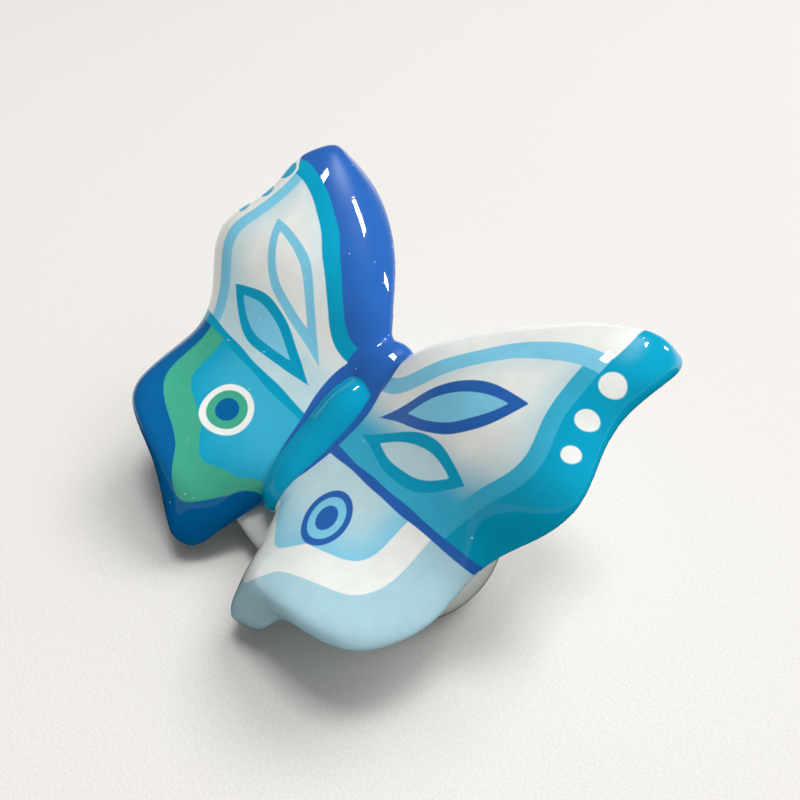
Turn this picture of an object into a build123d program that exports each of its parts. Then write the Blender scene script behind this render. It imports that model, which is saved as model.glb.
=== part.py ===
from build123d import *
import math
import os

# Glazed ceramic butterfly that perches nose up on a white pebble-shaped foot.
# Millimetres. The origin is on the table under the middle of the foot, +Z is up,
# +Y points towards the head and +X towards the right wing.
# The butterfly is drawn level, with its tail end at the origin and its body along +Y,
# and is then tilted and lifted into its place on the foot.

# Attitude of the butterfly on its foot
PITCH = 34.0             # nose-up tilt, degrees
TAIL_HEIGHT = 18.0       # tail end of the body above the table
TAIL_SETBACK = 22.0      # tail end of the body behind the middle of the foot

# Wing outline, level: out from the centre line, along the body, above the body line
HALF_SPAN = 54.5         # widest point of the forewing
BODY_LENGTH = 42.5       # tail end to the notch between the forewings
APEX_AHEAD = 27.0        # forewing tip ahead of that notch
APEX_OUT = 47.2
APEX_RISE = 2.8
BULGE_ALONG = 38.6       # place of the widest point
BULGE_RISE = 10.7
WAIST_OUT = 46.0         # dip between forewing and hindwing
WAIST_ALONG = 20.5
WAIST_RISE = 4.1
CORNER_OUT = 38.0        # outer corner of the hindwing
CORNER_BEHIND = 4.3
CORNER_RISE = 11.1
TAIL_OUT = 12.0          # tapered tail of the hindwing
TAIL_BEHIND = 19.0
TAIL_RISE = -3.0
NOTCH_OUT = 4.0          # leading edge beside the head
ROOT_DROP = 2.6          # wing root below the body line
ROOT_SEAM = 0.3          # seam between the two wing roots

# Outline between those landmarks: shares of the way out, along and up from one to the next
SHOULDER = (0.50, 0.21, 0.65)    # forewing tip to widest point
HOLLOW = (0.45, 0.58, 0.85)
FLANK = (0.02, 0.51, 0.17)       # waist to hindwing corner
SCALLOP = (0.46, 0.31, 0.23)     # hindwing corner to tail
LEADING = (0.66, 0.88, 0.56)     # notch to forewing tip
CROOK = (0.26, 0.46, 0.28)
INNER = (0.41, 0.58, 0.0)        # tail end of the root to tail

# Wing section
RIM = 3.0                # half thickness at the rim, and its rounding
CROWN_TOP = 1.5          # extra half thickness in the middle, above
CROWN_UNDER = 1.0        # and below
TAIL_SLIM = 0.6          # thickness left at the very end of the tail, as a share
ARCH = 3.0               # upward bow of the wing from root to margin
STATIONS = 18            # sections along the wing
RIM_STEPS = 6            # points across each side of a section

# Abdomen: a tapered roll laid in the valley between the wings
ROLL_RADIUS = 5.1
ROLL_TAIL_RADIUS = 3.3
ROLL_HEAD_RADIUS = 4.3
ROLL_BELLY_SHARE = 0.55  # thickest place, on the way from its tail end to its head end
ROLL_TAIL_SHARE = 0.10   # place of the tail radius
ROLL_HEAD_SHARE = 0.88   # place of the head radius
ROLL_OVERHANG = 0.5      # roll beyond the tail end
ROLL_LAP = 6.0           # roll runs on into the back of the head
ROLL_TAIL_RISE = -1.0    # height of its axis at the tail end
ROLL_TILT = 6.5          # its axis climbs towards the head, degrees

# Head: a low smooth dome between the leading edges
HEAD_WIDTH = 14.0
HEAD_LENGTH = 15.0
HEAD_HEIGHT = 8.4
HEAD_DROP = 1.2          # middle of the head below the body line
HEAD_AHEAD = 1.0         # front of the head beyond the notch

# Foot: an oval pebble, trimmed to the underside of the wings
FOOT_HALF_WIDTH = 38.5
FOOT_HALF_DEPTH = 27.0
FOOT_BELLY_HEIGHT = 14.0
FOOT_TOP = 42.0          # top of the pebble before trimming
FOOT_TUCK = 5.0          # base inside the belly, all round
FOOT_LEVELS = 8
FOOT_ROUND = 3.0         # rounding of its trimmed edge
CRADLE_DIP = 6.0         # trough in the top of the foot, below the body line
CRADLE_AT = (0.3, 0.6, 0.9)      # places on the way out to the waist where it meets the wing

# Felt pad let into the underside of the foot
PAD_INSET = 5.0          # pad inside the edge of the base
PAD_THICKNESS = 2.0
PAD_PROUD = 0.4          # felt stands below the ceramic

SLIP_JOINT = 0.1         # room for the slip between joined pieces

os.makedirs("parts", exist_ok=True)
PERCH = Location((0, -TAIL_SETBACK, TAIL_HEIGHT), (PITCH, 0, 0))
APEX = (APEX_OUT, BODY_LENGTH + APEX_AHEAD, APEX_RISE)
TAIL = (TAIL_OUT, -TAIL_BEHIND, TAIL_RISE)
HEAD_FRONT = BODY_LENGTH + HEAD_AHEAD
ROLL_LENGTH = ROLL_OVERHANG + HEAD_FRONT - HEAD_LENGTH + ROLL_LAP


def mix(a, b, share):
    return a + (b - a) * share


def landmark(a, b, shares):
    """A point part of the way from a to b, with its own share on each axis."""
    return tuple(mix(*ends) for ends in zip(a, b, shares))


def smooth_edge(points, start, end):
    return Spline(*points, tangents=(start, end), tangent_scalars=(1, 1))


def wing_edges():
    """The outer margin, and the leading and inner edge, each from forewing tip to tail."""
    outward, inward = (1, 0, 0), (-1, 0, 0)
    bulge = (HALF_SPAN, BULGE_ALONG, BULGE_RISE)
    waist = (WAIST_OUT, WAIST_ALONG, WAIST_RISE)
    corner = (CORNER_OUT, -CORNER_BEHIND, CORNER_RISE)
    shoulder = landmark(APEX, bulge, SHOULDER)
    hollow = landmark(APEX, bulge, HOLLOW)
    flank = landmark(waist, corner, FLANK)
    scallop = landmark(corner, TAIL, SCALLOP)
    margin = [APEX, shoulder, hollow, bulge, waist, flank, corner, scallop, TAIL]
    notch = (NOTCH_OUT, BODY_LENGTH, 0)
    leading = landmark(notch, APEX, LEADING)
    crook = landmark(notch, APEX, CROOK)
    root_front = (ROOT_SEAM, BODY_LENGTH - 2 * RIM, -ROOT_DROP)
    root_rear = (ROOT_SEAM, 2 * RIM, -ROOT_DROP)
    root_end = (NOTCH_OUT, -RIM, -ROOT_DROP)
    inner = landmark(root_end, TAIL, INNER)
    front = [APEX, leading, crook, notch, root_front, root_rear, root_end, inner, TAIL]
    return smooth_edge(margin, outward, inward), smooth_edge(front, inward, outward)


def at_along(edge, along):
    """Point of an edge at a place along the body, and how square the edge is to the section."""
    low, high = 0.0, 1.0
    for _ in range(40):
        middle = (low + high) / 2
        if (edge @ middle).Y > along:
            low = middle
        else:
            high = middle
    way = edge % low
    return edge @ low, abs(way.Y) / math.hypot(way.X, way.Y)


def rim_round(distance):
    """Quarter-round rise of the rim over its own radius, then level."""
    return math.sqrt(1 - max(0.0, 1 - distance / RIM) ** 2)


def bow(share):
    """Parabola over a width: nothing at both ends, one in the middle."""
    return 4 * share * (1 - share)


def wing_middle(root, rise, share):
    """Height of the middle of the wing's thickness, from root to margin."""
    return mix(root, rise, share) + ARCH * bow(share)


def wing_section(margin, front, along, grow):
    """Closed rounded section across the wing at one place along the body."""
    inner, inner_square = at_along(front, along)
    outer, outer_square = at_along(margin, along)
    start = max(inner.X, ROOT_SEAM / 2)
    width = outer.X - start
    slim = mix(1, TAIL_SLIM, max(0, along / TAIL[1]))
    top, under = [], []
    for step in range(RIM_STEPS + 1):
        share = (1 - math.cos(math.pi * step / RIM_STEPS)) / 2
        bump = bow(share)
        full = slim * rim_round(width * share * inner_square)
        full *= rim_round(width * (1 - share) * outer_square)
        middle = wing_middle(inner.Z, outer.Z, share)
        out = mix(start - grow, outer.X + grow, share)
        spread = grow if 0 < step < RIM_STEPS else 0
        top.append((out, along, middle + full * (RIM + CROWN_TOP * bump) + spread))
        under.append((out, along, middle - full * (RIM + CROWN_UNDER * bump) - spread))
    return Wire([Spline(*top, *under[-2:0:-1], periodic=True)])


def wing(grow=0.0):
    """Right wing, level: a loft through rounded sections from tail to forewing tip."""
    margin, front = wing_edges()
    sections = [Vertex(TAIL[0], TAIL[1] - grow, TAIL[2])]
    for step in range(1, STATIONS):
        share = (1 - math.cos(math.pi * step / STATIONS)) / 2
        along = mix(TAIL[1], APEX[1], share)
        sections.append(wing_section(margin, front, along, grow))
    sections.append(Vertex(APEX[0], APEX[1] + grow, APEX[2]))
    return Solid.make_loft(sections)


def abdomen(grow=0.0):
    """Tapered roll with rounded ends, level."""
    shape = [
        (-grow, 0),
        (ROLL_TAIL_SHARE * ROLL_LENGTH, ROLL_TAIL_RADIUS + grow),
        (ROLL_BELLY_SHARE * ROLL_LENGTH, ROLL_RADIUS + grow),
        (ROLL_HEAD_SHARE * ROLL_LENGTH, ROLL_HEAD_RADIUS + grow),
        (ROLL_LENGTH + grow, 0),
    ]
    profile = smooth_edge(shape, (0, 1), (0, -1))
    roll = revolve(make_face([profile, Line(shape[-1], shape[0])]), Axis.X)
    return Location((0, -ROLL_OVERHANG, ROLL_TAIL_RISE), (0, -ROLL_TILT, 90)) * roll


def head(grow=0.0):
    """Low dome, level."""
    halves = (HEAD_WIDTH / 2 + grow, HEAD_LENGTH / 2 + grow, HEAD_HEIGHT / 2 + grow)
    return Pos(0, HEAD_FRONT - HEAD_LENGTH / 2, -HEAD_DROP) * scale(Sphere(1), by=halves)


def foot_oval(height):
    """Half width and half depth of the pebble at a height."""
    if height < FOOT_BELLY_HEIGHT:
        tuck = FOOT_TUCK * ((FOOT_BELLY_HEIGHT - height) / FOOT_BELLY_HEIGHT) ** 2
        return FOOT_HALF_WIDTH - tuck, FOOT_HALF_DEPTH - tuck
    share = math.sqrt(1 - ((height - FOOT_BELLY_HEIGHT) / (FOOT_TOP - FOOT_BELLY_HEIGHT)) ** 2)
    return FOOT_HALF_WIDTH * share, FOOT_HALF_DEPTH * share


def pebble():
    sections = []
    for level in range(FOOT_LEVELS):
        share = math.sin(math.pi / 2 * level / FOOT_LEVELS)
        height = mix(PAD_PROUD, FOOT_TOP, share)
        sections.append(Wire([Edge.make_ellipse(*foot_oval(height), Plane.XY.offset(height))]))
    sections.append(Vertex(0, 0, FOOT_TOP))
    return Solid.make_loft(sections)


def cradle():
    """Everything under a smooth trough along the body, level."""
    reach = 2 * HALF_SPAN
    side = [(WAIST_OUT * at, wing_middle(-ROOT_DROP, WAIST_RISE, at)) for at in CRADLE_AT]
    trough = Spline(*[(-x, y) for x, y in reversed(side)], (0, -CRADLE_DIP), *side)
    last = side[-1]
    box = [last, (reach, last[1]), (reach, -reach), (-reach, -reach), (-reach, last[1]), (-last[0], last[1])]
    face = make_face([trough, Polyline(*box)])
    return extrude(Plane.XZ.offset(-reach) * face, 2 * reach)


def trimmed_pebble():
    """The pebble cut to the trough, with the cut edge rounded."""
    blank = largest(pebble() & (PERCH * cradle()))
    trough = blank.faces().sort_by(Axis.Z)[-1]
    return fillet(trough.edges(), FOOT_ROUND)


def pad(grow=0.0):
    wide, deep = foot_oval(PAD_PROUD)
    oval = Ellipse(wide - PAD_INSET + grow, deep - PAD_INSET + grow)
    return extrude(oval, PAD_THICKNESS + grow)


def largest(shape):
    return shape.solids().sort_by(SortBy.VOLUME)[-1]


def mirrored(shape):
    return mirror(shape, Plane.YZ)


roll = PERCH * abdomen()
roll_room = PERCH * abdomen(SLIP_JOINT)
dome = largest(PERCH * head() - roll_room)
dome_room = PERCH * head(SLIP_JOINT)
right_wing = largest(PERCH * wing() - roll_room - dome_room)
wing_room = PERCH * wing(SLIP_JOINT)
foot = trimmed_pebble() - wing_room - mirrored(wing_room) - roll_room - dome_room
foot = largest(foot - pad(SLIP_JOINT))

export_step(right_wing, "parts/right_wing.step")
export_step(mirrored(right_wing), "parts/left_wing.step")
export_step(roll, "parts/abdomen.step")
export_step(dome, "parts/head.step")
export_step(foot, "parts/foot.step")
export_step(pad(), "parts/felt_pad.step")
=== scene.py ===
import math

import bmesh
import bpy
import numpy as np
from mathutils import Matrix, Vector
from mathutils.bvhtree import BVHTree
from mathutils.kdtree import KDTree


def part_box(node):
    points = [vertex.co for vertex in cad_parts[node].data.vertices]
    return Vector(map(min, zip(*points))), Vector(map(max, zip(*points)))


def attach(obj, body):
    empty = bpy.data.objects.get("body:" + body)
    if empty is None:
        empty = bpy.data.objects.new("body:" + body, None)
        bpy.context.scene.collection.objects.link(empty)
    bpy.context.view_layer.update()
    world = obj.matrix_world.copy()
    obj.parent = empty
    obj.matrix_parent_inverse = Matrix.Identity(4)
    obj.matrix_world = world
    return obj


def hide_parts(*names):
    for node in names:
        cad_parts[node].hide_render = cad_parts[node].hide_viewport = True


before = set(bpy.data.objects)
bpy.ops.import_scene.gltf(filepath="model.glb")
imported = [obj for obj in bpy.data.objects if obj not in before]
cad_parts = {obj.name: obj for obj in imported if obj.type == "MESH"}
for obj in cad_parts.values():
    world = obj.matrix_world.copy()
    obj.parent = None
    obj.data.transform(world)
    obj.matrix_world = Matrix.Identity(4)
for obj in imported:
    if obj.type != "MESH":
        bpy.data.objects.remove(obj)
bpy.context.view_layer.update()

# Glazed ceramic butterfly on its white foot. Scene units are metres.
# Paint fields on the glaze are in millimetres, in the level frame of the butterfly:
# out from the centre line, along the body from its tail end, and up from the body line.
MM = 0.001

# Attitude of the butterfly on its foot
BODY_PITCH = math.radians(34)
TAIL_END = np.array((0, -22, 18)) * MM

# Glaze skin
SKIN_NODES = ("left_wing", "right_wing", "head", "abdomen")
MERGE_DISTANCE = 0.001 * MM  # vertices that lie closer become one
GLAZE_FILL = 0.2 * MM        # glaze that closes the slip joints
SKIN_VOXEL = 0.5 * MM
SMOOTHING_FACTOR = 0.5
SKIN_SMOOTHING = 18          # rounds over the whole skin
BROAD_SMOOTHING = 40         # more rounds over the broad surfaces and round the head
PANEL_FACING = (0.35, 0.7)   # upward share of the normal at the rim and on a broad surface
HEAD_BLEND = 12.0            # reach of the soft blend round the head

# Rim of the wings
RIM_RADIUS = 3.0
RIM_FACING = 0.12            # largest upward share of the normal on the rim
BODY_CLEARANCE = 2.0         # the rim ends this far from the roll and the head
LEADING_FACING = 0.6         # forward share of the normal on the leading edge
LEADING_ALONG = 30.0         # the leading edge begins here
LEADING_ROOT = 15.0          # up to here from the centre line, the whole rim is leading edge

# Brushwork
HAND_STRETCH = 9.0 * MM      # length of the waves in a painted outline
HAND_WOBBLE = 0.9            # and their width
PAINT_EDGE = 0.12            # softness of the painted outlines
WASH = 5.0                   # softness of a wash of thin paint
BRUSH_ROUNDS = 150           # rounding of the lines along the rim
BRUSH_MARKS = 4.0 * MM       # size of the marks that a brush leaves in the paint
BRUSH_SHADES = (0.97, 1.02)  # their darkest and lightest shade

# Glaze: size of its waves, their strength, roughness of what is below it and of the glaze
WING_GLAZE = (9.0 * MM, 0.2, 0.35, 0.02)
FOOT_GLAZE = (8.0 * MM, 0.25, 0.3, 0.05)
WAVE_HEIGHT = 0.3 * MM
CREASE_REACH = 1.6           # painted shade: the colour darkens in the crease beside the roll, out to this distance
CREASE_SHADE = 0.72
PINHOLE_SPACING = 4.0 * MM
PINHOLE_RADIUS = 0.22 * MM
PINHOLE_GLINT = 0.7          # share of white painted in a pinhole as a glint
FOOT_POOLS = 14.0 * MM       # size of the pools of glaze on the foot

# Palette of the underglaze paints
ROYAL = "#2b66b8"
DEEP = "#0363a0"
TEAL = "#06a3c9"
ROLL_TEAL = "#05a0c8"
TURQUOISE = "#3cb4d6"
SKY = "#84d2ee"
ICE = "#b0d6e3"
AQUA = "#c6e3e9"
WHITE = "#f3f6f1"
GREEN = "#46ae90"

# Pairs of tints of the plain surfaces, and the values of a noise where one turns into the other
FOOT_TINTS = ("#d0d6d3", "#c8cfcb")
FELT_TINTS = ("#2f3840", "#4b565f")
TABLE_TINTS = ("#dedbd7", "#e7e4e0")
MOTTLE_BAND = (0.3, 0.7)
MOTTLE_DETAIL = 3.0

# Painted shapes, in plan, alike on both wings
LEAD_BORDER = 8.0            # along the leading edge, from the rim
LEAD_LINE = 11.5             # inner edge of the line along the border
SIDE_BORDER = 6.5            # along the outer edge of the forewing
SIDE_LINE = 9.5
HIND_BORDER = 8.0            # along the edge of the hindwing
HIND_LINE = 13.5
TIP_OVERLAP = (-4.0, 5.0)    # how far the outer border runs on over the tip, left and right
BORDER_TAPER = 20.0          # the other borders narrow from here towards the body
TAPER_END = 0.35
FORE_WASH = 12.0             # thin paint that fades inwards from the border
HIND_WASH = 17.0
VEIN_WASH = 11.0             # thin paint that fades forwards from the vein
VEIN_ALONG = 18.0            # where the line between forewing and hindwing starts
VEIN_SLOPE = 0.06
VEIN_HALF_WIDTH = 0.9
LEAVES = {                   # root, end, half width
    "front_leaf": ((10, 28.5), (38.5, 47), 5.0),
    "rear_leaf": ((9, 24), (38, 30), 5.0),
}
LEAF_SKEW = 1.3              # above 1, a leaf is widest nearer to its end
EYE_CENTRE = (18.5, 9.0)
EYE_RADIUS = 5.6
SPOTS = [                    # centre, radius
    ((47.0, 57.0), 2.2),
    ((47.6, 50.4), 1.8),
    ((49.6, 44.4), 1.5),
]
DOME_REACH = 2.0             # the colour of the head runs on to the wings
COLLAR_WIDTH = 3.6           # and in a narrowing line beside the roll
COLLAR_ENDS = (2.0, 34.0)    # places along the body where that line ends and starts

# Paint in the order in which it is laid:
# shape, inset, softness, colour on the left and on the right wing
LAYERS = [
    ("fore_wash", 0, WASH, AQUA, AQUA),
    ("vein_wash", 0, WASH, AQUA, TURQUOISE),
    ("hindwing", 0, PAINT_EDGE, TURQUOISE, AQUA),
    ("hind_wash", 0, WASH, TEAL, SKY),
    ("front_leaf", 0, PAINT_EDGE, SKY, ROYAL),
    ("front_leaf", 2.2, PAINT_EDGE, WHITE, SKY),
    ("rear_leaf", 0, PAINT_EDGE, TEAL, TEAL),
    ("rear_leaf", 2.2, PAINT_EDGE, SKY, AQUA),
    ("underside", 0, PAINT_EDGE, AQUA, AQUA),
    ("side_line", 0, PAINT_EDGE, SKY, TURQUOISE),
    ("lead_line", 0, PAINT_EDGE, TEAL, SKY),
    ("lead_border", 0, PAINT_EDGE, ROYAL, WHITE),
    ("side_border", 0, PAINT_EDGE, WHITE, TEAL),
    ("hind_line", 0, PAINT_EDGE, GREEN, WHITE),
    ("hind_border", 0, PAINT_EDGE, DEEP, ICE),
    ("eye", 0, PAINT_EDGE, WHITE, ROYAL),
    ("eye", 1.4, PAINT_EDGE, GREEN, SKY),
    ("eye", 3.2, PAINT_EDGE, DEEP, ROYAL),
    ("vein", 0, PAINT_EDGE, TEAL, ROYAL),
    ("spots", 0, PAINT_EDGE, TURQUOISE, WHITE),
    ("dome", 0, PAINT_EDGE, ROYAL, ROYAL),
    ("roll", 0, PAINT_EDGE, ROLL_TEAL, ROLL_TEAL),
]
GROUND = WHITE

# Felt disc: inset from the edge and share of the thickness, from the underside up
FELT_PROFILE = [(1.6, 0), (0.5, 0), (0.2, 0.08), (0.05, 0.25), (0.05, 0.75), (0.3, 1), (1.6, 1)]
FELT_SEGMENTS = 96
FELT_WANDER = 0.06           # unevenness of the cut edge
FELT_WAVES = (11, 7)         # waves of it round the disc
FELT_FIBRE = 0.5 * MM
FELT_NAP = 0.3 * MM

# Table
TABLE_REACH = 3.0            # from its middle to each side
TABLE_GRAIN = 0.5 * MM
TABLE_RELIEF = 0.1 * MM
TABLE_FADE = (0.5, 1.0)      # distances between which it runs into the wall
TABLE_BACK = (-0.79, 0.62, 0.0)
TABLE_GLEAM = (0.01, 0.06)   # places towards its back from which the glaze mirrors it

# White tent round the table, and the gleam of it in the glaze:
# direction of the brightest part, light there, how fast it fades, light elsewhere
TENT = ((0.31, 0.39, 0.87), 1.4, 4.0, 0.04)
GLEAM = ((-0.28, 0.42, 0.86), 3.0, 40.0, 0.08)

# Wall of the tent behind the table, with the heights between which it begins and ends
WALL_LIGHT = 0.9
WALL_GLEAM = 0.35            # light of the wall in the glaze
WALL_FOOT = (-0.12, -0.06)
WALL_TOP = (0.08, 0.2)

# Lamps that light the table: name, direction, size, watts
LAMP_TARGET = (0, 0, 0.03)
LAMP_DISTANCE = 2.0
LAMPS = [
    ("overhead", (0.13, 0.05, 0.99), (0.5, 0.5), 16.5),
    ("side", (0.12, 0.50, 0.86), (1.0, 1.0), 16.8),
]

# Lamps that only show as glints in the glaze: name, direction, size, watts per square metre
GLINTS = [
    ("glint_left", (-0.47, 0.08, 0.88), (0.35, 0.20), 130.0),
    ("glint_back", (-0.04, 0.52, 0.85), (0.18, 0.24), 130.0),
    ("glint_low", (0.20, 0.90, 0.35), (0.14, 0.36), 130.0),
]

# Camera at the photograph's viewing angle
CAMERA_AT = (0.1008, -0.0666, 0.1426)
CAMERA_TILT = math.radians(48.13)
CAMERA_TURN = math.radians(51.83)
CAMERA_LENS = 36.0
CAMERA_SENSOR = 36.0
CAMERA_NEAREST = 0.005


def linear(code):
    """Linear colour of a hexadecimal sRGB code."""
    values = [int(code[i:i + 2], 16) / 255 for i in (1, 3, 5)]
    return [v / 12.92 if v <= 0.04045 else ((v + 0.055) / 1.055) ** 2.4 for v in values] + [1.0]


def points_of(mesh, what="vertices", key="co"):
    """Vertex places or normals of a mesh as an array."""
    items = getattr(mesh, what)
    flat = np.zeros(len(items) * 3, np.float32)
    items.foreach_get(key, flat)
    return flat.reshape(-1, 3).astype(float)


def turned_level(vectors):
    """Directions in the level frame of the butterfly."""
    c, s = math.cos(BODY_PITCH), math.sin(BODY_PITCH)
    x, y, z = vectors.T
    return np.stack([x, c * y + s * z, c * z - s * y], axis=1)


def level(points):
    """Places in the level frame of the butterfly, in millimetres."""
    return turned_level(points - TAIL_END) / MM


def level_normals(mesh):
    """Vertex normals in the level frame of the butterfly."""
    return turned_level(points_of(mesh, "vertex_normals", "vector"))


def new_object(name, data):
    made = bpy.data.objects.new(name, data)
    bpy.context.scene.collection.objects.link(made)
    return made


def joined_nodes(names):
    """Meshes of several CAD nodes in one."""
    joined = bmesh.new()
    for name in names:
        joined.from_mesh(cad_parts[name].data)
    return joined


def apply_modifiers(piece):
    """Turns the evaluated piece into its own mesh."""
    scene_graph = bpy.context.evaluated_depsgraph_get()
    made = bpy.data.meshes.new_from_object(piece.evaluated_get(scene_graph))
    made.name = piece.name
    piece.modifiers.clear()
    piece.data = made
    return made


def smooth(piece, rounds, group=""):
    modifier = piece.modifiers.new("smooth", "SMOOTH")
    modifier.factor = SMOOTHING_FACTOR
    modifier.iterations = rounds
    modifier.vertex_group = group


def broad_weights(mesh):
    """How far each vertex belongs to a broad surface or to the blend round the head."""
    low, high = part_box("head")
    middle = level(np.array([(low + high) / 2]))[0]
    far = np.linalg.norm(level(points_of(mesh)) - middle, axis=1)
    facing = np.abs(level_normals(mesh)[:, 2])
    broad = (facing - PANEL_FACING[0]) / (PANEL_FACING[1] - PANEL_FACING[0])
    by_head = 2 - 2 * far / HEAD_BLEND
    return np.clip(np.maximum(broad, by_head), 0, 1)


def glaze_skin():
    """Wings, head and abdomen under one fired glaze that fills their joints."""
    joined = joined_nodes(SKIN_NODES)
    bmesh.ops.remove_doubles(joined, verts=joined.verts, dist=MERGE_DISTANCE)
    joined.normal_update()
    for vertex in joined.verts:
        vertex.co += vertex.normal * GLAZE_FILL
    mesh = bpy.data.meshes.new("butterfly_glaze")
    joined.to_mesh(mesh)
    joined.free()
    piece = new_object("butterfly_glaze", mesh)
    remesh = piece.modifiers.new("remesh", "REMESH")
    remesh.mode = "VOXEL"
    remesh.voxel_size = SKIN_VOXEL
    smooth(piece, SKIN_SMOOTHING)
    weights = broad_weights(apply_modifiers(piece))
    group = piece.vertex_groups.new(name="broad")
    for index in np.nonzero(weights)[0]:
        group.add([int(index)], float(weights[index]), "REPLACE")
    smooth(piece, BROAD_SMOOTHING, "broad")
    mesh = apply_modifiers(piece)
    piece.vertex_groups.clear()
    mesh.shade_smooth()
    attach(piece, "root")
    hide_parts(*SKIN_NODES)
    return piece


def distance_to(names, points):
    """Distance of each place to the surface of CAD nodes, in millimetres."""
    joined = joined_nodes(names)
    tree = BVHTree.FromBMesh(joined)
    joined.free()
    return np.array([tree.find_nearest(Vector(p))[3] for p in points]) / MM


def nearest(targets, plan):
    """Distance of each place in plan to the nearest target."""
    tree = KDTree(len(targets))
    for index, target in enumerate(targets):
        tree.insert((target[0], target[1], 0), index)
    tree.balance()
    return np.array([tree.find((x, y, 0))[2] for x, y in plan])


def relaxed(mesh, values):
    """Evens out values on the vertices of a mesh, as a brush does."""
    ends = np.zeros(len(mesh.edges) * 2, np.int32)
    mesh.edges.foreach_get("vertices", ends)
    one, other = ends[0::2], ends[1::2]
    count = len(values)
    neighbours = np.bincount(one, minlength=count) + np.bincount(other, minlength=count)
    for _ in range(BRUSH_ROUNDS):
        total = np.bincount(one, values[other], count) + np.bincount(other, values[one], count)
        values = (values + total / neighbours) / 2
    return values


def edge_distances(mesh, plan, to_body):
    """Distance in plan from the leading edge, and from the rest of the rim."""
    out, along = plan.T
    _, ahead, up = level_normals(mesh).T
    on_rim = (np.abs(up) < RIM_FACING) & (to_body > BODY_CLEARANCE)
    leading = on_rim & (along > LEADING_ALONG)
    leading &= (ahead > LEADING_FACING) | (out < LEADING_ROOT)
    edges = (leading, on_rim & ~leading)
    return [relaxed(mesh, nearest(plan[edge], plan)) for edge in edges]


def leaf_depth(plan, root, end, half_width):
    """How far each place lies inside a leaf shape, below zero outside."""
    start, finish = np.array(root, float), np.array(end, float)
    length = np.linalg.norm(finish - start)
    axis = (finish - start) / length
    along = (plan - start) @ axis
    across = np.abs((plan - start) @ np.array((-axis[1], axis[0])))
    share = np.clip(along / length, 0, 1)
    profile = half_width * np.sin(math.pi * share ** LEAF_SKEW)
    outside = np.maximum(-along, along - length)
    return np.where(outside > 0, -np.hypot(np.maximum(outside, 0), across), profile - across)


def round_depth(plan, centre, radius):
    return radius - np.linalg.norm(plan - np.array(centre), axis=1)


def paint_shapes(mesh):
    """Depth of every vertex inside each painted shape, below zero outside."""
    points = points_of(mesh)
    places = level(points)
    plan = np.stack([np.abs(places[:, 0]), places[:, 1]], axis=1)
    out, along = plan.T
    up = level_normals(mesh)[:, 2]
    to_wings = distance_to(("left_wing", "right_wing"), points)
    to_roll = distance_to(("abdomen",), points)
    to_dome = distance_to(("head",), points)
    beside_roll = np.minimum(to_wings, to_dome)
    lead_edge, side_edge = edge_distances(mesh, plan, np.minimum(to_roll, to_dome))

    upper = up * RIM_RADIUS
    hindwing = VEIN_ALONG + VEIN_SLOPE * out - along
    forewing = -hindwing
    taper = np.clip(out / BORDER_TAPER, TAPER_END, 1)
    overlap = np.where(places[:, 0] > 0, TIP_OVERLAP[1], TIP_OVERLAP[0])
    side_border = np.minimum(SIDE_BORDER * taper, overlap + lead_edge) - side_edge
    eye = round_depth(plan, EYE_CENTRE, EYE_RADIUS)
    spots = np.max([round_depth(plan, *spot) for spot in SPOTS], axis=0)
    towards_head = (along - COLLAR_ENDS[0]) / (COLLAR_ENDS[1] - COLLAR_ENDS[0])
    collar = COLLAR_WIDTH * np.clip(towards_head, 0, 1) - to_roll
    shapes = {
        "right": places[:, 0],
        "hindwing": hindwing,
        "underside": -upper,
        "lead_border": np.minimum(LEAD_BORDER - lead_edge, forewing),
        "lead_line": np.minimum(LEAD_LINE - lead_edge, forewing),
        "side_border": np.minimum(side_border, forewing),
        "side_line": np.minimum(SIDE_LINE * taper - side_edge, forewing),
        "hind_border": np.minimum(HIND_BORDER * taper - side_edge, hindwing),
        "hind_line": np.minimum(HIND_LINE * taper - side_edge, hindwing),
        "fore_wash": FORE_WASH * taper - np.minimum(lead_edge, side_edge),
        "vein_wash": np.where(forewing > 0, VEIN_WASH - forewing, -WASH),
        "hind_wash": np.where(hindwing > 0, HIND_WASH * taper - side_edge, -WASH),
        "vein": np.minimum(VEIN_HALF_WIDTH - np.abs(hindwing), upper),
        "eye": np.where(up > 0, eye, -EYE_RADIUS),
        "spots": np.minimum(spots, upper),
        "dome": np.maximum(DOME_REACH - to_dome, np.where(up > 0, collar, -COLLAR_WIDTH)),
        "roll": beside_roll - to_roll,
        "crease": CREASE_REACH - np.maximum(beside_roll, to_roll),
    }
    for name, leaf in LEAVES.items():
        shapes[name] = leaf_depth(plan, *leaf)
    return shapes


def mark(mesh, shapes):
    """Keeps the depths as fields on the mesh, for the paint to follow."""
    for name, values in shapes.items():
        attribute = mesh.attributes.new(name, "FLOAT", "POINT")
        attribute.data.foreach_set("value", values.astype(np.float32))


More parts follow.
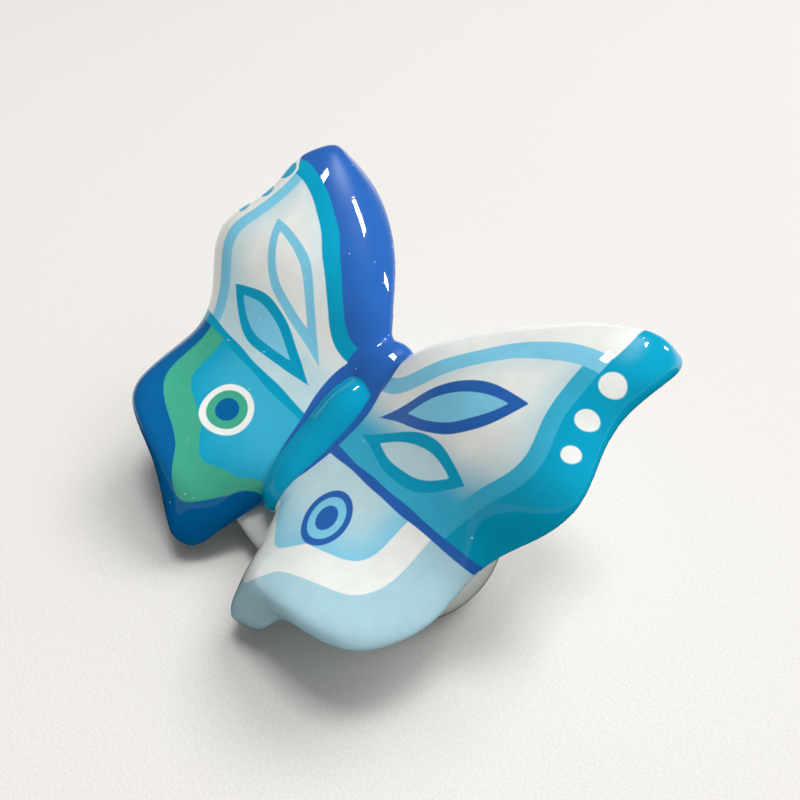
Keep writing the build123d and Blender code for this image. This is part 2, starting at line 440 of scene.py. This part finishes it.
class Nodes:
    """A node tree that is put together step by step."""

    def __init__(self, owner):
        owner.use_nodes = True
        self.owner = owner
        self.nodes = owner.node_tree.nodes
        self.links = owner.node_tree.links

    def put(self, socket, value):
        if isinstance(value, bpy.types.NodeSocket):
            self.links.new(value, socket)
        else:
            socket.default_value = value

    def finish(self, shader, **values):
        """Sets inputs of a shader node, with spaces for underscores in their names."""
        for name, value in values.items():
            self.put(self.nodes[shader].inputs[name.replace("_", " ")], value)
        return self.owner

    def math(self, operation, first, second=0.0):
        node = self.nodes.new("ShaderNodeMath")
        node.operation = operation
        self.put(node.inputs[0], first)
        self.put(node.inputs[1], second)
        return node.outputs[0]

    def field(self, name):
        node = self.nodes.new("ShaderNodeAttribute")
        node.attribute_name = name
        return node.outputs["Fac"]

    def place(self):
        return self.nodes.new("ShaderNodeNewGeometry").outputs["Position"]

    def rays(self):
        return self.nodes.new("ShaderNodeLightPath").outputs

    def noise(self, size, detail):
        """Noise from 0 to 1 with features of about that size in metres."""
        node = self.nodes.new("ShaderNodeTexNoise")
        self.put(node.inputs["Vector"], self.place())
        node.inputs["Scale"].default_value = 1 / size
        node.inputs["Detail"].default_value = detail
        return node.outputs[0]

    def mottle(self, size, start=0.0, end=1.0):
        """Soft patches of two values."""
        return self.ramp(self.noise(size, MOTTLE_DETAIL), *MOTTLE_BAND, start, end)

    def pinholes(self, spacing, radius):
        """Sparse small dots at scattered pinholes, from 0 to 1."""
        node = self.nodes.new("ShaderNodeTexVoronoi")
        self.put(node.inputs["Vector"], self.place())
        node.inputs["Scale"].default_value = 1 / spacing
        edge = radius / spacing
        return self.ramp(node.outputs["Distance"], edge / 2, edge, 1.0, 0.0)

    def ramp(self, value, low, high, start=0.0, end=1.0):
        """Soft change from start to end while a value goes from low to high."""
        node = self.nodes.new("ShaderNodeMapRange")
        node.interpolation_type = "SMOOTHSTEP"
        self.put(node.inputs["Value"], value)
        limits = {"From Min": low, "From Max": high, "To Min": start, "To Max": end}
        for name, number in limits.items():
            node.inputs[name].default_value = number
        return node.outputs[0]

    def mix(self, share, first, second):
        """Colour between two, by the sockets that the node has for colours."""
        node = self.nodes.new("ShaderNodeMix")
        node.data_type = "RGBA"
        self.put(node.inputs[0], share)
        self.put(node.inputs[6], first)
        self.put(node.inputs[7], second)
        return node.outputs[2]

    def vector(self, operation, first, second=(0, 0, 0)):
        """Number from a vector or from two."""
        node = self.nodes.new("ShaderNodeVectorMath")
        node.operation = operation
        self.put(node.inputs[0], first)
        self.put(node.inputs[1], second)
        return node.outputs["Value"]

    def scaled(self, colour, factor):
        node = self.nodes.new("ShaderNodeVectorMath")
        node.operation = "SCALE"
        self.put(node.inputs[0], colour)
        self.put(node.inputs["Scale"], factor)
        return node.outputs[0]

    def bump(self, relief, strength, height):
        node = self.nodes.new("ShaderNodeBump")
        self.put(node.inputs["Height"], relief)
        node.inputs["Strength"].default_value = strength
        node.inputs["Distance"].default_value = height
        return node.outputs[0]


def new_material(name):
    return Nodes(bpy.data.materials.new(name))


def glazed(shader, colour, wave_size, wave_strength, roughness, glaze_roughness):
    """Finishes a material with a clear glossy glaze that lies in soft waves."""
    waves = shader.bump(shader.noise(wave_size, detail=1.0), wave_strength, WAVE_HEIGHT)
    return shader.finish(
        "Principled BSDF",
        Base_Color=colour,
        Roughness=roughness,
        Specular_IOR_Level=0.0,
        Coat_Weight=1.0,
        Coat_Roughness=glaze_roughness,
        Normal=waves,
        Coat_Normal=waves,
    )


def wing_paint():
    """Hand-painted underglaze colours below a clear glossy glaze."""
    shader = new_material("wing_glaze")
    wander = shader.math("SUBTRACT", shader.noise(HAND_STRETCH, detail=0.0), 0.5)
    hand = shader.math("MULTIPLY", wander, HAND_WOBBLE)
    right = shader.ramp(shader.field("right"), -PAINT_EDGE, PAINT_EDGE)
    colour = linear(GROUND)
    for shape, inset, softness, left_code, right_code in LAYERS:
        depth = shader.math("SUBTRACT", shader.math("ADD", shader.field(shape), hand), inset)
        inside = shader.ramp(depth, -softness, softness)
        paint = linear(left_code)
        if left_code != right_code:
            paint = shader.mix(right, paint, linear(right_code))
        colour = shader.mix(inside, colour, paint)
    # Painted shade: the colour darkens in the crease beside the roll.
    darkened = shader.ramp(shader.field("crease"), 0.0, CREASE_REACH, 1.0, CREASE_SHADE)
    marks = shader.mottle(BRUSH_MARKS, *BRUSH_SHADES)
    colour = shader.scaled(colour, shader.math("MULTIPLY", darkened, marks))
    # Painted glints: white dots where the glaze has pinholes.
    pinhole_glints = shader.pinholes(PINHOLE_SPACING, PINHOLE_RADIUS)
    pinhole_glints = shader.math("MULTIPLY", pinhole_glints, PINHOLE_GLINT)
    return glazed(shader, shader.mix(pinhole_glints, colour, linear(WHITE)), *WING_GLAZE)


def white_glaze():
    shader = new_material("foot_glaze")
    pale, darkened = map(linear, FOOT_TINTS)
    return glazed(shader, shader.mix(shader.mottle(FOOT_POOLS), pale, darkened), *FOOT_GLAZE)


def felt_disc():
    """Oval of felt with soft rounded edges, let into the underside of the foot."""
    low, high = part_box("felt_pad")
    half = (high - low) / 2
    middle = (high + low) / 2
    disc = bmesh.new()
    rings = []
    for inset, height in FELT_PROFILE:
        ring = []
        for step in range(FELT_SEGMENTS):
            turn = 2 * math.pi * step / FELT_SEGMENTS
            wander = FELT_WANDER * math.prod(math.sin(waves * turn) for waves in FELT_WAVES)
            x = (half.x - (inset + wander) * MM) * math.cos(turn)
            y = (half.y - (inset + wander) * MM) * math.sin(turn)
            z = low.z + height * 2 * half.z
            ring.append(disc.verts.new((middle.x + x, middle.y + y, z)))
        rings.append(ring)
    for lower, upper in zip(rings, rings[1:]):
        for step in range(FELT_SEGMENTS):
            after = (step + 1) % FELT_SEGMENTS
            disc.faces.new((lower[step], lower[after], upper[after], upper[step]))
    disc.faces.new(list(reversed(rings[0])))
    disc.faces.new(rings[-1])
    mesh = bpy.data.meshes.new("felt_disc")
    disc.to_mesh(mesh)
    disc.free()
    mesh.shade_smooth()
    piece = new_object("felt_disc", mesh)
    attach(piece, "root")
    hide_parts("felt_pad")
    return piece


def felt_cloth():
    shader = new_material("felt")
    fibres = shader.noise(FELT_FIBRE, detail=6.0)
    dark, pale = map(linear, FELT_TINTS)
    return shader.finish(
        "Principled BSDF",
        Base_Color=shader.mix(fibres, dark, pale),
        Roughness=0.95,
        Sheen_Weight=0.4,
        Normal=shader.bump(fibres, strength=0.8, height=FELT_NAP),
    )


def table_top():
    """Pale table that runs into the wall far off. The glaze mirrors only the back of it."""
    shader = new_material("floor")
    rays = shader.rays()
    grain = shader.mottle(TABLE_GRAIN)
    dark, pale = map(linear, TABLE_TINTS)
    far = shader.ramp(shader.vector("LENGTH", shader.place()), *TABLE_FADE)
    back = shader.ramp(shader.vector("DOT_PRODUCT", shader.place(), TABLE_BACK), *TABLE_GLEAM)
    seen = shader.math("MULTIPLY", far, rays["Is Camera Ray"])
    mirrored = shader.math("MULTIPLY", back, rays["Is Glossy Ray"])
    bright = shader.math("MAXIMUM", seen, mirrored)
    unlit = shader.math("MAXIMUM", seen, rays["Is Glossy Ray"])
    return shader.finish(
        "Principled BSDF",
        Base_Color=shader.mix(unlit, shader.mix(grain, dark, pale), (0, 0, 0, 1)),
        Roughness=1.0,
        Specular_IOR_Level=0.0,
        Emission_Color=(1, 1, 1, 1),
        Emission_Strength=shader.math("MULTIPLY", bright, WALL_LIGHT),
        Normal=shader.bump(grain, strength=0.15, height=TABLE_RELIEF),
    )


def give(piece, surface):
    piece.data.materials.clear()
    piece.data.materials.append(surface)


def light_tent():
    """White tent that lights the table. The glaze mirrors its wall and a soft gleam overhead."""
    tent = Nodes(bpy.data.worlds.new("light_tent"))
    direction = tent.nodes.new("ShaderNodeTexCoord").outputs["Generated"]
    rays = tent.rays()

    def towards(middle):
        return tent.vector("DOT_PRODUCT", direction, Vector(middle).normalized())

    def glow(middle, high, fall, low):
        """Light that fades with the angle from its middle."""
        share = tent.math("POWER", tent.math("MAXIMUM", towards(middle)), fall)
        return tent.math("ADD", tent.math("MULTIPLY", share, high), low)

    height = towards((0, 0, 1))
    above_foot = tent.ramp(height, *WALL_FOOT)
    below_top = tent.ramp(height, *WALL_TOP, 1.0, 0.0)
    wall = tent.math("MULTIPLY", tent.math("MULTIPLY", above_foot, below_top), WALL_GLEAM)
    mirrored = tent.math("MAXIMUM", wall, glow(*GLEAM))
    by_glaze = tent.math("MAXIMUM", rays["Is Glossy Ray"], rays["Is Transmission Ray"])
    strength = tent.mix(by_glaze, glow(*TENT), mirrored)
    strength = tent.mix(rays["Is Camera Ray"], strength, 3 * [WALL_LIGHT] + [1.0])
    return tent.finish("Background", Color=(1, 1, 1, 1), Strength=strength)


def area_lamp(name, direction, size, power):
    """A lamp that faces the butterfly from some way off."""
    data = bpy.data.lights.new(name, "AREA")
    data.shape = "RECTANGLE"
    data.size, data.size_y = size
    data.energy = power
    lamp = new_object(name, data)
    way = Vector(direction).normalized()
    lamp.location = Vector(LAMP_TARGET) + way * LAMP_DISTANCE
    lamp.rotation_euler = (-way).to_track_quat("-Z", "Y").to_euler()
    return lamp


# Butterfly, foot and felt
skin = glaze_skin()
mark(skin.data, paint_shapes(skin.data))
give(skin, wing_paint())
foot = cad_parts["foot"]
foot.data.shade_smooth()
give(foot, white_glaze())
give(felt_disc(), felt_cloth())

# Table
corners = [(x * TABLE_REACH, y * TABLE_REACH, 0) for x, y in ((-1, -1), (1, -1), (1, 1), (-1, 1))]
floor_mesh = bpy.data.meshes.new("floor")
floor_mesh.from_pydata(corners, [], [(0, 1, 2, 3)])
floor = new_object("floor", floor_mesh)
give(floor, table_top())

# Light
bpy.context.scene.world = light_tent()
for name, direction, size, power in LAMPS:
    area_lamp(name, direction, size, power).visible_glossy = False
for name, direction, size, strength in GLINTS:
    area_lamp(name, direction, size, strength * size[0] * size[1]).visible_diffuse = False

# Camera
camera_data = bpy.data.cameras.new("camera")
camera_data.lens = CAMERA_LENS
camera_data.sensor_width = CAMERA_SENSOR
camera_data.clip_start = CAMERA_NEAREST
camera = new_object("camera", camera_data)
camera.location = CAMERA_AT
camera.rotation_euler = (CAMERA_TILT, 0, CAMERA_TURN)
bpy.context.scene.camera = camera
bpy.context.scene.view_settings.view_transform = "Standard"
